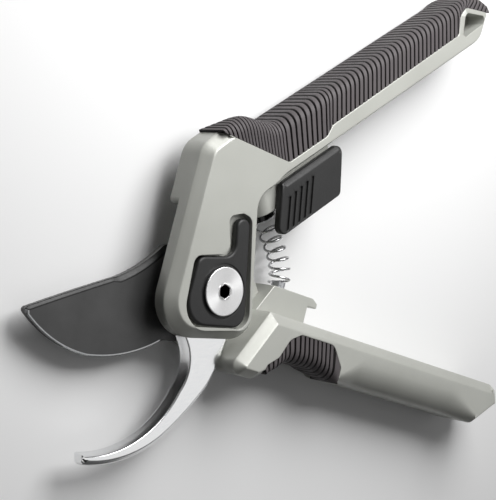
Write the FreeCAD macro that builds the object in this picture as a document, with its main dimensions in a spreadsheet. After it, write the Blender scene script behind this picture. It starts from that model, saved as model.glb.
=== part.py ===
"""Bypass pruner, open, with its lock released.

Every piece lies on its back: +Z is the pivot axis, z = 0 the plane that both bars' backs lie on, and
the origin is where the pivot axis meets that plane.  +X points between the two bars, +Y to the upper
bar.  Each arm has a local frame turned about Z: x along its bar, y square to it.
"""
import FreeCAD, Part
import math
import os

Vector = FreeCAD.Vector
UP = Vector(0, 0, 1)

SIZES = {
    # the two arms
    "upper_turn": 22.4,
    "lower_turn": -21.9,
    "closing_angle": 42.0,
    "upper_length": 159.5,
    "lower_length": 153.0,
    "body_depth": 21.0,
    # the stack on the pivot, from the back
    "hub_depth": 5.3,
    "blade_depth": 3.0,
    "blade_gap": 0.1,
    "washer_depth": 0.3,
    "hook_depth": 4.5,
    "head_back": 8.0,
    # bolt, nut, bushing and washers
    "shank_radius": 4.0,
    "bushing_wall": 1.0,
    "running_gap": 0.05,
    "disc_radius": 8.0,
    "disc_depth": 0.9,
    "disc_stand": 0.6,
    "collar_radius": 5.5,
    "socket_flats": 4.0,
    "socket_depth": 3.0,
    "nut_radius": 7.0,
    "nut_depth": 2.8,
    "nut_room": 0.4,
    "spring_washer_depth": 0.5,
    # tension lever
    "recess_depth": 3.0,
    "lever_depth": 2.4,
    "lever_swing": 8.0,
    "lever_gap": 0.35,
    "rim_chamfer": 0.5,
    # upper bar and its grip
    "bar_low": 21.7,
    "bar_top": 38.0,
    "grip_wall": 3.0,
    "band_height": 4.8,
    "rail_low": 18.5,
    "rail_front": 17.5,
    "rail_start": 34.0,
    "rail_end": 65.0,
    # lower bar and its grip
    "low_bar_top": -1.2,
    "low_bar_bottom": -18.0,
    "face_chamfer": 1.2,
    "latch_back": 0.5,
    "latch_front": 10.6,
    "latch_top": 8.7,
    "latch_nose": 52.9,
    "nose_depth": 3.2,
    # lock slider and its runner
    "lock_travel": 4.6,
    "slider_depth": 3.0,
    "slider_front": 20.8,
    "groove_depth": 0.6,
    "groove_width": 1.0,
    "groove_pitch": 2.9,
    "groove_start": 32.8,
    "groove_top": 16.0,
    "slide_gap": 0.1,
    "tee_neck": 4.0,
    "tee_head": 8.0,
    "tee_centre": 10.5,
    "tee_neck_depth": 2.0,
    "catch_depth": 1.4,
    "tee_depth": 1.3,
    "leaf_depth": 0.3,
    "leaf_room": 1.0,
    "leaf_width": 6.0,
    "leaf_length": 11.0,
    "runner_low": 8.6,
    "runner_start": 46.0,
    "runner_back": 5.0,
    "catch_gap": 0.3,
    "catch_web": 3.0,
    "nose_room": 1.1,
    # return spring, its cup and its stub
    "spring_height": 8.0,
    "coil_room": 0.9,
    "wire_radius": 0.45,
    "coil_turns": 9.0,
    "cup_radius": 5.6,
    "cup_wall": 0.8,
    "cup_at": 34.2,
    "boss_end": 10.0,
    "boss_fore": 7.5,
    "boss_rear": 7.0,
    "boss_back": 1.0,
    "boss_corner": 6.2,
    "boss_wall": 1.0,
    "cup_end": 8.0,
    "cup_floor": 19.0,
    "stub_radius": 2.4,
    "stub_height": 2.0,
    "stub_at": 34.7,
    "peg_radius": 1.4,
    "peg_depth": 3.0,
    # fasteners
    "rivet_radius": 2.0,
    "screw_radius": 1.5,
    "screw_floor": 1.0,
    "screw_head": 2.6,
    "screw_head_depth": 2.0,
    "hook_bevel": 1.3,
    "edge_land": 0.4,
    "stop_pin_radius": 1.5,
    "stop_gap": 0.25,
    "blind_floor": 2.0,
    "low_grip_wall": 2.2,
}

MARGIN = 5.0  # how far a cutting outline runs past the piece that it cuts
SWING_STEPS = 4  # the lever's recess is cut at this many steps of its swing
GROOVES = 5  # on the thumb plate
JOIN = 1.0  # how far a pad reaches into the one that it grows from

doc = FreeCAD.newDocument("bypass_pruner")
sheet = doc.addObject("Spreadsheet::Sheet", "sizes")
for row, (alias, value) in enumerate(SIZES.items(), start=1):
    sheet.set(f"A{row}", alias.replace("_", " "))
    sheet.set(f"B{row}", str(value))
    sheet.setAlias(f"B{row}", alias)
doc.recompute()

nodes = []


def size(alias):
    """Value of one driving dimension."""
    return float(sheet.get(alias))


# levels of the stack that several pieces share
BLADE_BACK = size("hub_depth")
BLADE_FRONT = BLADE_BACK + size("blade_depth")
PIN_BACK = BLADE_BACK + size("blade_gap")
HOOK_BACK = BLADE_FRONT + size("blade_gap")
CHEEK_BACK = HOOK_BACK + size("hook_depth")
BODY_DEPTH = size("body_depth")
RECESS_FLOOR = BODY_DEPTH - size("recess_depth")
BLIND_END = RECESS_FLOOR - size("blind_floor")
COLLAR_TOP = BODY_DEPTH + size("disc_stand") - size("disc_depth")
NUT_SEAT = size("nut_depth") + size("spring_washer_depth") + 2 * size("running_gap")
BUSHING_RADIUS = size("shank_radius") + size("running_gap") + size("bushing_wall")
SLIDER_BACK = size("slider_front") - size("slider_depth")
TEE_TOP = size("bar_low") + size("tee_depth")
COIL_RADIUS = size("cup_radius") - size("cup_wall") - size("coil_room") - size("wire_radius")


def turned(point, degrees):
    """Point (x, y) turned about the pivot."""
    angle = math.radians(degrees)
    x, y = point[0], point[1]
    return (x * math.cos(angle) - y * math.sin(angle), x * math.sin(angle) + y * math.cos(angle))


def rounded(corners):
    """Closed outline through corners (x, y, radius), each corner rounded by its radius."""
    starts, ends, arcs = [], [], []
    count = len(corners)
    for index in range(count):
        x, y, radius = corners[index]
        here = Vector(x, y, 0)
        before = Vector(*corners[index - 1][:2], 0) - here
        after = Vector(*corners[(index + 1) % count][:2], 0) - here
        before.normalize()
        after.normalize()
        if radius == 0:
            starts.append(here)
            ends.append(here)
            arcs.append(None)
            continue
        half = before.getAngle(after) / 2
        reach = radius / math.tan(half)
        middle = before + after
        middle.normalize()
        centre = here + middle * (radius / math.sin(half))
        starts.append(here + before * reach)
        ends.append(here + after * reach)
        arcs.append(Part.Arc(starts[-1], centre - middle * radius, ends[-1]))
    curves = []
    for index in range(count):
        if arcs[index]:
            curves.append(arcs[index])
        following = starts[(index + 1) % count]
        if (following - ends[index]).Length > 1e-6:
            curves.append(Part.LineSegment(ends[index], following))
    return curves


def flat(x, y):
    """Point of a sketch."""
    return Vector(x, y, 0)


def circle(x, y, radius):
    """Circle as a sketch's only curve."""
    return [Part.Circle(flat(x, y), UP, radius)]


def box(x_low, x_high, y_low, y_high, radius=0):
    """Rectangle with its corners rounded."""
    return rounded([(x_low, y_low, radius), (x_high, y_low, radius),
                    (x_high, y_high, radius), (x_low, y_high, radius)])


def new_body(label, turn):
    """Body named label, in the frame of the arm whose turn is given."""
    body = doc.addObject("PartDesign::Body", label)
    body.Label = label
    body.Placement = FreeCAD.Placement(Vector(), FreeCAD.Rotation(UP, size(turn)))
    body.setExpression("Placement.Rotation.Angle", f"sizes.{turn}")
    nodes.append(body)
    return body


def draw(body, name, curves, height="0", plane="XY_Plane"):
    """Sketch on one of the body's own planes, lifted to a height."""
    sketch = body.newObject("Sketcher::SketchObject", f"{body.Label}_{name}")
    support = [feature for feature in body.Origin.OriginFeatures if feature.Role == plane]
    sketch.AttachmentSupport = [(support[0], "")]
    sketch.MapMode = "FlatFace"
    sketch.addGeometry(curves, False)
    sketch.setExpression("AttachmentOffset.Base.z", height)
    return sketch


def pad(body, name, curves, height, depth, plane="XY_Plane"):
    """Pad from a height upwards."""
    sketch = draw(body, name, curves, height, plane)
    feature = body.newObject("PartDesign::Pad", f"{body.Label}_{name}_pad")
    feature.Profile = sketch
    feature.Refine = False
    feature.setExpression("Length", depth)
    doc.recompute()
    return feature


def pocket(body, name, curves, height, depth, plane="XY_Plane", reverse=False):
    """Pocket from a height downwards, or upwards when reversed."""
    before = body.Shape.Volume
    sketch = draw(body, name, curves, height, plane)
    feature = body.newObject("PartDesign::Pocket", f"{body.Label}_{name}_pocket")
    feature.Profile = sketch
    feature.Reversed = reverse
    feature.Refine = False
    feature.setExpression("Length", depth)
    doc.recompute()
    if not body.Shape.Volume < before - 0.01:
        raise ValueError(f"{feature.Name} cuts nothing")
    return feature


def picked(shape, wanted):
    """Names of the edges whose middle point is wanted."""
    names = []
    for number, edge in enumerate(shape.Edges, start=1):
        middle = edge.valueAt((edge.FirstParameter + edge.LastParameter) / 2)
        if wanted(middle, edge):
            names.append(f"Edge{number}")
    return names


def soften(body, kind, wanted, amount):
    """Fillet or chamfer on the wanted edges of the body's tip."""
    tip = body.Tip
    names = picked(tip.Shape, wanted)
    feature = body.newObject(f"PartDesign::{kind}", f"{body.Label}_{kind}_{len(body.Group)}")
    feature.Base = (tip, names)
    feature.Refine = False
    feature.setExpression("Radius" if kind == "Fillet" else "Size", amount)
    doc.recompute()
    return feature


def tube(label, outer, inner, bottom, depth):
    """Ring on the pivot axis."""
    rings = []
    for name, radius in (("outer", outer), ("inner", inner)):
        cylinder = doc.addObject("Part::Cylinder", f"{label}_{name}")
        cylinder.setExpression("Radius", radius)
        cylinder.setExpression("Height", depth)
        cylinder.setExpression("Placement.Base.z", bottom)
        rings.append(cylinder)
    cut = doc.addObject("Part::Cut", label)
    cut.Label = label
    cut.Base, cut.Tool = rings
    nodes.append(cut)


def rods(label, places, radius, bottom, depth, turn):
    """Group of equal round pieces square to the tool, in one arm's frame."""
    members = []
    for number, (x, y) in enumerate(places, start=1):
        rod = doc.addObject("Part::Cylinder", f"{label}_{number}")
        rod.setExpression("Radius", radius)
        rod.setExpression("Height", depth)
        place = turned((x, y), size(turn))
        rod.Placement.Base = Vector(place[0], place[1], 0)
        rod.setExpression("Placement.Base.z", bottom)
        members.append(rod)
    if len(members) == 1:
        members[0].Label = label
        nodes.append(members[0])
        return members[0]
    group = doc.addObject("Part::Compound", label)
    group.Label = label
    group.Links = members
    nodes.append(group)
    return group


def at_height(level, tolerance=0.01):
    """Test for edges that lie on one level."""
    def test(middle, edge):
        return abs(middle.z - level) < tolerance and edge.BoundBox.ZLength < tolerance
    return test


# ---------------------------------------------------------------- shared outlines and places

HOOK_RIVETS = [(-6.5, 11.5), (9.5, -1.0)]
BLADE_SCREWS = [(11.0, -3.5), (3.5, -11.5)]
STOP_PIN = [(-11.5, -1.5)]
SLIDER_SCREWS = [(50.0, 13.0), (57.0, 13.0)]

CHEEK_LEFT = (-29.0, 0.3)
HEAD_LEFT = -0.5
HUMP = 8.6
HUMP_START = 8.0
HUMP_END = 33.0
HUMP_LOW = 26.0
LOW_GRIP_FORE = 26.2
LOW_GRIP_REAR = 61.6


def head_top():
    """The head's two upper corners, at the grip's border and at the free side."""
    top = size("bar_top")
    return (22.3, top + 7.6), (14.6, top + 7.2)


def bar_end():
    """Low end of the upper bar, round to its tip."""
    end, low = size("upper_length"), size("bar_low")
    return [(end - 8.7, low, 9), (end, low + 6.5, 1.5)]


def grip_border():
    """Where the grip meets bare metal on the front, from the tip back to the head."""
    end, low = size("upper_length"), size("bar_low")
    band = low + size("band_height")
    return [(end - 11.5, low + 13.5, 3), (end - 16.0, low + 11.8, 2.5), (end - 19.3, band + 1.1, 2),
            (67.0, band, 2), (63.0, band - 2.3, 2), (43.6, band - 2.3, 2.5)]


def grip_top():
    """Back of the grip, from the tip to the head's hump."""
    end, top = size("upper_length"), size("bar_top")
    return [(end + 1.2, top - 7.0, 1.5), (end - 2.5, top - 1.8, 4), (end - 9.0, top, 8),
            (44.0, top, 8), (33.5, top + HUMP, 9), (21.6, top + HUMP, 0)]


def bar_core():
    """Part of the upper casting that the grip wraps."""
    end, low = size("upper_length"), size("bar_low")
    top = size("bar_top") - size("grip_wall")
    return [(24.0, low + 5, 0), (30.0, low + 1, 0), (end - 8.0, low + 4.5, 0), (end - 3.0, low + 8.8, 2),
            (end - 12.0, top, 4), (46.0, top, 8), (33.0, top + HUMP, 6), (18.0, top + HUMP - 0.4, 3)]


def lever_corners(grow=0.0):
    """Tension lever's plan, a plate round the bolt with one arm, grown by a margin."""
    corners = [(-3.5, 14.9, 3), (-19.2, -0.8, 8), (2.8, -15.9, 5), (20.5, 15.2, 2.8),
               (15.6, 18.1, 2.8), (9.5, 7.5, 4)]
    grown = []
    for index, (x, y, radius) in enumerate(corners):
        before = flat(*corners[index - 1][:2])
        after = flat(*corners[(index + 1) % len(corners)][:2])
        here = flat(x, y)
        first = (here - before).normalize()
        second = (after - here).normalize()
        side = 1 if first.cross(second).z > 0 else -1
        inward = (second - first).normalize() * side
        shift = grow / math.sin((first * -1).getAngle(second) / 2)
        moved = here - inward * shift
        grown.append((moved.x, moved.y, radius + grow * side))
    return grown


def slider_corners():
    """Thumb plate's plan."""
    return [(28.2, 3.2, 2.5), (60.8, 3.2, 2.5), (69.4, 19.2, 2.5), (38.0, 19.2, 1.5)]


def low_bar_corners():
    """Outer outline of the lower bar and its root."""
    top, bottom, end = size("low_bar_top"), size("low_bar_bottom"), size("lower_length")
    return [(24.9, top, 2), (12.6, bottom - 4.0, 3.4), (16.5, bottom - 6.4, 3), (24.0, bottom - 6.2, 5),
            (36.0, bottom + 1.8, 5), (50.0, bottom + 2.1, 6), (58.5, bottom - 0.2, 5), (70.0, bottom, 0),
            (end - 11.5, bottom, 2), (end, bottom + 9.4, 2), (end - 3.5, top, 2)]


def low_grip_border(far):
    """Finger insert's border on the front, from its fore end; far is how low both ends reach."""
    bottom = size("low_bar_bottom")
    return [(LOW_GRIP_FORE, far[0], 0), (LOW_GRIP_FORE, bottom - 1.0, 1.5), (31.2, bottom + 2.8, 3),
            (34.2, bottom + 9.4, 4), (39.0, bottom + 12.3, 3), (55.4, bottom + 12.3, 4),
            (LOW_GRIP_REAR, bottom + 5.5, 3), (LOW_GRIP_REAR, far[1], 0)]


def low_grip_floor():
    """Line between the lower casting's core and the insert under it, from fore to rear."""
    low = size("low_bar_bottom") + size("low_grip_wall")
    return [(LOW_GRIP_FORE, low - 4.6, 0), (35.6, low + 1.9, 4), (50.4, low + 2.1, 5), (58.3, low, 3),
            (LOW_GRIP_REAR, low, 0)]


def build_upper_handle():
    """Casting: cheek over the pivot, head, bar with band and core, eye, rail and spring boss."""
    body = new_body("upper_handle", "upper_turn")
    low = size("bar_low")
    crown, shoulder = head_top()
    face = [(*CHEEK_LEFT, 12.5), (3.0, -20.6, 7), (26.3, low, 8)]
    face += bar_end() + grip_border() + [(*crown, 0), (*shoulder, 8)]
    pad(body, "face", rounded(face), f"{CHEEK_BACK}", f"sizes.body_depth - {CHEEK_BACK}")

    def free_side(middle, edge):
        return at_height(BODY_DEPTH)(middle, edge) and middle.x < -5
    soften(body, "Chamfer", free_side, "sizes.face_chamfer")
    slope = (shoulder[1] - CHEEK_LEFT[1]) / (shoulder[0] - CHEEK_LEFT[0])
    bump = (HEAD_LEFT, CHEEK_LEFT[1] + slope * (HEAD_LEFT - CHEEK_LEFT[0]))
    border = grip_border()[-1]
    head = [(*bump, 0), (26.3, 26.0, 2), (27.0, low, 0), (60.0, low, 0), (60.0, border[1], 0), border,
            (*crown, 0), (*shoulder, 8)]
    pad(body, "head", rounded(head), "sizes.head_back", f"{CHEEK_BACK} - sizes.head_back")
    diagonal = (30.0, border[1] + border[0] - 30.0, 6)
    band = [(30.0, low, 0)] + bar_end() + grip_border() + [diagonal]
    pad(body, "band", rounded(band), "0", f"{CHEEK_BACK}")
    pad(body, "core", rounded(bar_core()), "sizes.grip_wall", "sizes.body_depth - 2 * sizes.grip_wall")
    boss = box(size("cup_at") - size("boss_fore"), size("cup_at") + size("boss_rear"), size("boss_back"),
               size("rail_front"), size("boss_corner"))
    top = size("bar_low") + JOIN
    pad(body, "boss", boss, f"{-top}", f"{top} - sizes.boss_end", "XZ_Plane")
    rail = box(size("rail_start"), size("rail_end"), size("rail_low"), low + JOIN)
    pad(body, "rail", rail, "sizes.grip_wall", "sizes.rail_front - sizes.grip_wall")
    cut_hump_back(body)
    add_upper_cuts(body)


def add_upper_cuts(body):
    """Openings of the upper casting: recess, bore, rivet and pin holes, cup bore, T-slot, eye."""
    for step in range(SWING_STEPS + 1):
        swing = step / SWING_STEPS * size("lever_swing")
        corners = [(*turned((x, y), swing), radius) for x, y, radius in lever_corners(size("lever_gap"))]
        pocket(body, f"recess_{step}", rounded(corners), "sizes.body_depth", "sizes.recess_depth")
    bore = circle(0, 0, size("shank_radius") + size("running_gap"))
    pocket(body, "bore", bore, "sizes.body_depth", f"sizes.body_depth - {CHEEK_BACK}")
    for number, (x, y) in enumerate(HOOK_RIVETS):
        hole = circle(x, y, size("rivet_radius"))
        pocket(body, f"rivet_{number}", hole, f"{BLIND_END}", f"{BLIND_END - CHEEK_BACK}")
    pin_hole = circle(*STOP_PIN[0], size("stop_pin_radius"))
    pocket(body, "pin_hole", pin_hole, f"{BLIND_END}", f"{BLIND_END - CHEEK_BACK}")
    cup = circle(size("cup_at"), size("spring_height"), size("cup_radius"))
    pocket(body, "cup_bore", cup, "-sizes.boss_end", "sizes.cup_floor - sizes.boss_end", "XZ_Plane")
    gap, centre = size("slide_gap"), size("tee_centre")
    half_neck = size("tee_neck") / 2 + gap
    half_head = size("tee_head") / 2 + gap
    start = size("cup_at") + size("cup_radius") + size("boss_wall")
    end = size("rail_end") + JOIN
    shoulder = size("rail_low") + size("tee_neck_depth")
    neck = box(size("rail_low") - JOIN, shoulder + JOIN, centre - half_neck, centre + half_neck)
    head = box(shoulder, TEE_TOP + size("leaf_room"), centre - half_head, centre + half_head)
    pocket(body, "neck", neck, f"{end}", f"{end - start}", "YZ_Plane")
    pocket(body, "tee", head, f"{end}", f"{end - start}", "YZ_Plane")
    end, low = size("upper_length"), size("bar_low")
    eye = [(end - 18.0, low + 3.7, 1.3), (end - 12.3, low + 11.8, 2.2), (end - 2.9, low + 6.4, 1.6),
           (end - 4.9, low + 4.2, 1.2)]
    pocket(body, "eye", rounded(eye), "sizes.body_depth", "sizes.body_depth")


def cut_hump_back(body):
    """Room behind the head: only the bar is as deep as the tool."""
    behind = box(HUMP_START, HUMP_END, HUMP_LOW, size("bar_top") + HUMP + MARGIN)
    pocket(body, "hump_back", behind, "0", "sizes.head_back", reverse=True)


def build_upper_grip():
    """Overmoulded grip: wraps the bar's core from the head's hump to the tip."""
    body = new_body("upper_grip", "upper_turn")
    tip = bar_end()[-1]
    shape = grip_border()[::-1] + [(tip[0], tip[1], 0)] + grip_top()
    pad(body, "shape", rounded(shape), "0", "sizes.body_depth")
    pocket(body, "core", rounded(bar_core()), "sizes.body_depth - sizes.grip_wall",
           "sizes.body_depth - 2 * sizes.grip_wall")
    cut_hump_back(body)


def build_hook_jaw():
    """Counter blade: hooked jaw with a tang round the pivot."""
    body = new_body("hook_jaw", "upper_turn")
    root, bend, tip = flat(-15.8, -8.0), flat(-24.7, -23.2), flat(-64.9, -20.4)
    outer_tip, outer_bend, outer_root = flat(-66.4, -24.0), flat(-36.9, -34.0), flat(-13.4, -29.4)
    heel = flat(2.5, -18.5)
    curves = [Part.Arc(root, flat(-17.6, -17.6), bend),
              Part.Arc(bend, flat(-44.0, -27.9), tip),
              Part.LineSegment(tip, outer_tip),
              Part.Arc(outer_tip, flat(-52.8, -31.5), outer_bend),
              Part.Arc(outer_bend, flat(-24.0, -32.2), outer_root),
              Part.Arc(outer_root, flat(-4.5, -24.3), heel)]
    tang = [heel, flat(14.5, 0.0), flat(11.5, 12.0), flat(-6.0, 18.0), flat(-14.5, 6.0), root]
    curves += [Part.LineSegment(tang[index], tang[index + 1]) for index in range(len(tang) - 1)]
    pad(body, "blank", curves, f"{HOOK_BACK}", "sizes.hook_depth")
    holes = [(0, 0, size("shank_radius") + size("running_gap"))]
    holes += [(x, y, size("rivet_radius")) for x, y in HOOK_RIVETS]
    holes += [(x, y, size("stop_pin_radius")) for x, y in STOP_PIN]
    for number, hole in enumerate(holes):
        pocket(body, f"hole_{number}", circle(*hole), f"{CHEEK_BACK}", "sizes.hook_depth")

    def outer_rim(middle, edge):
        outside = middle.x < -10 and middle.y < -24 and middle.distanceToPoint(Vector(-38, 12, 0)) > 44
        return at_height(CHEEK_BACK)(middle, edge) and outside
    soften(body, "Chamfer", outer_rim, "sizes.hook_bevel")
    return body


def build_cutting_blade():
    """Curved cutting blade, with a ground bevel on its back and a slot for the stop pin."""
    body = new_body("cutting_blade", "lower_turn")
    tip, spine_bend, spine_root = flat(-63.0, -21.6), flat(-33.2, -4.6), flat(-18.0, 9.5)
    edge_tip, belly, edge_root = flat(-62.6, -23.1), flat(-36.9, -30.9), flat(-9.0, -19.7)
    curves = [Part.Arc(edge_root, flat(-22.5, -27.4), belly),
              Part.Arc(belly, flat(-51.0, -28.8), edge_tip),
              Part.LineSegment(edge_tip, tip),
              Part.Arc(tip, flat(-48.0, -12.8), spine_bend),
              Part.Arc(spine_bend, flat(-25.0, 1.5), spine_root)]
    tang = [spine_root, flat(-8.0, 15.0), flat(6.0, 14.0), flat(15.5, 5.0), flat(15.0, -8.0),
            flat(5.0, -17.5), edge_root]
    curves += [Part.LineSegment(tang[index], tang[index + 1]) for index in range(len(tang) - 1)]
    pad(body, "blank", curves, f"{BLADE_BACK}", "sizes.blade_depth")
    pocket(body, "stop_slot", stop_slot(), f"{BLADE_FRONT}", "sizes.blade_depth")
    holes = [(0, 0, BUSHING_RADIUS)]
    holes += [(x, y, size("screw_radius")) for x, y in BLADE_SCREWS]
    for number, hole in enumerate(holes):
        pocket(body, f"hole_{number}", circle(*hole), f"{BLADE_FRONT}", "sizes.blade_depth")

    def ground(middle, edge):
        return at_height(BLADE_BACK)(middle, edge) and middle.y < -24 and middle.x < -12
    soften(body, "Chamfer", ground, "sizes.blade_depth - sizes.edge_land")
    return body


def stop_slot():
    """Curved slot in the blade: the stop pin stands at one end when open, at the other when closed."""
    radius = size("stop_pin_radius") + size("stop_gap")
    x, y = turned(STOP_PIN[0], size("upper_turn") - size("lower_turn"))
    distance = math.hypot(x, y)
    opened = math.atan2(y, x)
    closed = opened - math.radians(size("closing_angle"))
    low, half, high = [Vector(math.cos(angle), math.sin(angle), 0)
                       for angle in (closed, (opened + closed) / 2, opened)]
    beyond_high = Vector(-high.y, high.x, 0) * radius
    beyond_low = Vector(low.y, -low.x, 0) * radius
    inner, outer = distance - radius, distance + radius
    return [Part.Arc(low * inner, half * inner, high * inner),
            Part.Arc(high * inner, high * distance + beyond_high, high * outer),
            Part.Arc(high * outer, half * outer, low * outer),
            Part.Arc(low * outer, low * distance + beyond_low, low * inner)]


def build_lower_handle():
    """Casting: hub plate behind the blade, bar with root, latch plate with its nose."""
    body = new_body("lower_handle", "lower_turn")
    pad(body, "bar", rounded(low_bar_corners()), "0", "sizes.body_depth")
    hub = [(15.0, 14.0, 9), (26.0, 9.0, 3), (40.0, 0.0, 0), (40.0, -8.0, 0), (14.0, -22.5, 4),
           (-14.0, -14.0, 12), (-14.0, 14.0, 12)]
    pad(body, "hub", rounded(hub), "0", "sizes.hub_depth")
    top, nose = size("latch_top"), size("latch_nose")
    under = top - size("nose_depth")
    latch = [(30.8, top, 0.6), (24.6, -2.0, 1), (25.5, -5.0, 0), (nose - 4.4, -5.0, 0),
             (nose - 4.4, under, 0.6), (nose, under, 0.5), (nose, top - 1.4, 0.5), (nose - 2.5, top, 0.6)]
    pad(body, "latch", rounded(latch), "sizes.latch_back", "sizes.latch_front - sizes.latch_back")
    pocket(body, "bore", circle(0, 0, BUSHING_RADIUS), "sizes.hub_depth", "sizes.hub_depth")
    nut = circle(0, 0, size("nut_radius") + size("nut_room"))
    pocket(body, "nut_seat", nut, f"{NUT_SEAT}", f"{NUT_SEAT}")
    for number, (x, y) in enumerate(BLADE_SCREWS):
        hole = circle(x, y, size("screw_radius"))
        pocket(body, f"screw_{number}", hole, "sizes.hub_depth", "sizes.hub_depth - sizes.screw_floor")
    peg = circle(size("stub_at"), size("spring_height"), size("peg_radius"))
    pocket(body, "peg", peg, "-sizes.latch_top", "sizes.peg_depth", "XZ_Plane", reverse=True)
    far = size("low_bar_bottom") - 12
    sheath = rounded(low_grip_border((far, far)))
    pocket(body, "seat_front", sheath, "sizes.body_depth", "sizes.low_grip_wall")
    pocket(body, "seat_back", sheath, "sizes.low_grip_wall", "sizes.low_grip_wall")
    trench = [(LOW_GRIP_FORE, far, 0)] + low_grip_floor() + [(LOW_GRIP_REAR, far, 0)]
    pocket(body, "seat_under", rounded(trench), "sizes.body_depth - sizes.low_grip_wall",
           "sizes.body_depth - 2 * sizes.low_grip_wall")


def build_lower_grip():
    """Finger insert: fills the rebate round the lower bar's root."""
    body = new_body("lower_grip", "lower_turn")
    bottom = size("low_bar_bottom")
    fore, rear = bottom - 4.7, bottom - 0.15
    shape = low_grip_border((fore, rear))
    shape += [(58.5, bottom - 0.2, 5), (50.0, bottom + 2.1, 6), (36.0, bottom + 1.8, 5)]
    pad(body, "shape", rounded(shape), "0", "sizes.body_depth")
    above = size("low_bar_top") + 5
    floor = low_grip_floor()
    fore_end, rear_end = LOW_GRIP_FORE - MARGIN, LOW_GRIP_REAR + MARGIN
    core = [(fore_end, above, 0), (fore_end, floor[0][1], 0)] + floor
    core += [(rear_end, floor[-1][1], 0), (rear_end, above, 0)]
    pocket(body, "core", rounded(core), "sizes.body_depth - sizes.low_grip_wall",
           "sizes.body_depth - 2 * sizes.low_grip_wall")


def build_bolt():
    """Pivot bolt: disc head with a hex socket, collar for the lever, shank."""
    body = new_body("pivot_bolt", "upper_turn")
    pad(body, "shank", circle(0, 0, size("shank_radius")), "0", f"{RECESS_FLOOR}")
    pad(body, "collar", circle(0, 0, size("collar_radius")), f"{RECESS_FLOOR}",
        f"{COLLAR_TOP - RECESS_FLOOR}")
    pad(body, "disc", circle(0, 0, size("disc_radius")), f"{COLLAR_TOP}", "sizes.disc_depth")
    corner = size("socket_flats") / math.sqrt(3)
    hexagon = [(corner * math.cos(math.pi * k / 3), corner * math.sin(math.pi * k / 3), 0) for k in range(6)]
    pocket(body, "socket", rounded(hexagon), "sizes.body_depth + sizes.disc_stand", "sizes.socket_depth")


def build_lever():
    """Tension lever round the bolt's collar, in the cheek's recess."""
    body = new_body("tension_lever", "upper_turn")
    bottom = f"{RECESS_FLOOR} + sizes.washer_depth"
    pad(body, "plate", rounded(lever_corners()), bottom, "sizes.lever_depth")
    hole = circle(0, 0, size("collar_radius") + size("running_gap"))
    pocket(body, "hole", hole, f"{bottom} + sizes.lever_depth", "sizes.lever_depth")

    def rim(middle, edge):
        level = RECESS_FLOOR + size("washer_depth") + size("lever_depth")
        return at_height(level)(middle, edge) and math.hypot(middle.x, middle.y) > size("collar_radius") + 1
    soften(body, "Chamfer", rim, "sizes.rim_chamfer")


def build_slider():
    """Thumb plate of the lock: five grooves on its fore half, plain behind."""
    body = new_body("lock_slider", "upper_turn")
    pad(body, "plate", rounded(slider_corners()), f"{SLIDER_BACK}", "sizes.slider_depth")
    soften(body, "Chamfer", at_height(size("slider_front")), "sizes.rim_chamfer")
    fore_low, _, _, fore_high = slider_corners()
    lean = (fore_high[0] - fore_low[0]) / (fore_high[1] - fore_low[1])
    bottom, top, width = fore_low[1], size("groove_top"), size("groove_width")
    for number in range(GROOVES):
        left = size("groove_start") + size("groove_pitch") * number
        shift = (top - bottom) * lean
        groove = [(left, bottom, 0), (left + width, bottom, 0), (left + width + shift, top, 0),
                  (left + shift, top, 0)]
        pocket(body, f"groove_{number}", rounded(groove), "sizes.slider_front", "sizes.groove_depth")
    for number, (x, y) in enumerate(SLIDER_SCREWS):
        hole = circle(x, y, size("screw_radius"))
        pocket(body, f"screw_{number}", hole, f"{SLIDER_BACK}", "sizes.slider_depth - sizes.screw_floor",
               reverse=True)


def build_lock_bar():
    """Runner behind the thumb plate: T-section in the rail's slot, and the catch below."""
    body = new_body("lock_bar", "upper_turn")
    start, low = size("runner_start"), size("runner_low")
    head_low = size("rail_low") + size("tee_neck_depth") + size("slide_gap")
    half_head, half_neck = size("tee_head") / 2, size("tee_neck") / 2
    centre = size("tee_centre")
    ledge, depth = catch_top(), size("catch_depth")
    web = size("latch_nose") + size("nose_room") + size("lock_travel")
    ledge_end = web - size("lock_travel") - size("slide_gap")
    end = web + size("catch_web")
    block = box(start, end, low, size("rail_low") - size("slide_gap"))
    pad(body, "block", block, "sizes.runner_back", f"{SLIDER_BACK} - sizes.runner_back")
    catch = [(web, low + JOIN, 0), (web, ledge, 0), (ledge_end, ledge, 0), (ledge_end, ledge - depth, 0),
             (end, ledge - depth, 1), (end, low + JOIN, 0)]
    pad(body, "catch", rounded(catch), "sizes.runner_back", "sizes.latch_front - sizes.runner_back")
    neck = box(size("rail_low") - JOIN, head_low + JOIN, centre - half_neck, centre + half_neck)
    pad(body, "neck", neck, f"{start}", f"{end - start}", "YZ_Plane")
    head = box(head_low, TEE_TOP - size("slide_gap"), centre - half_head, centre + half_head)
    pad(body, "tee", head, f"{start}", f"{end - start}", "YZ_Plane")
    for number, (x, y) in enumerate(SLIDER_SCREWS):
        pocket(body, f"hole_{number}", circle(x, y, size("screw_radius")), f"{SLIDER_BACK}",
               f"{SLIDER_BACK} - sizes.runner_back")
        pocket(body, f"sink_{number}", circle(x, y, size("screw_head")), "sizes.runner_back",
               "sizes.screw_head_depth", reverse=True)


def catch_top():
    """Height of the catch's upper face: just under the nose's lower side when the arms are closed."""
    spread = size("upper_turn") - size("lower_turn") - size("closing_angle")
    under = size("latch_top") - size("nose_depth")
    corner = turned((size("latch_nose"), under), -spread)
    return corner[1] - size("catch_gap")


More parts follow.
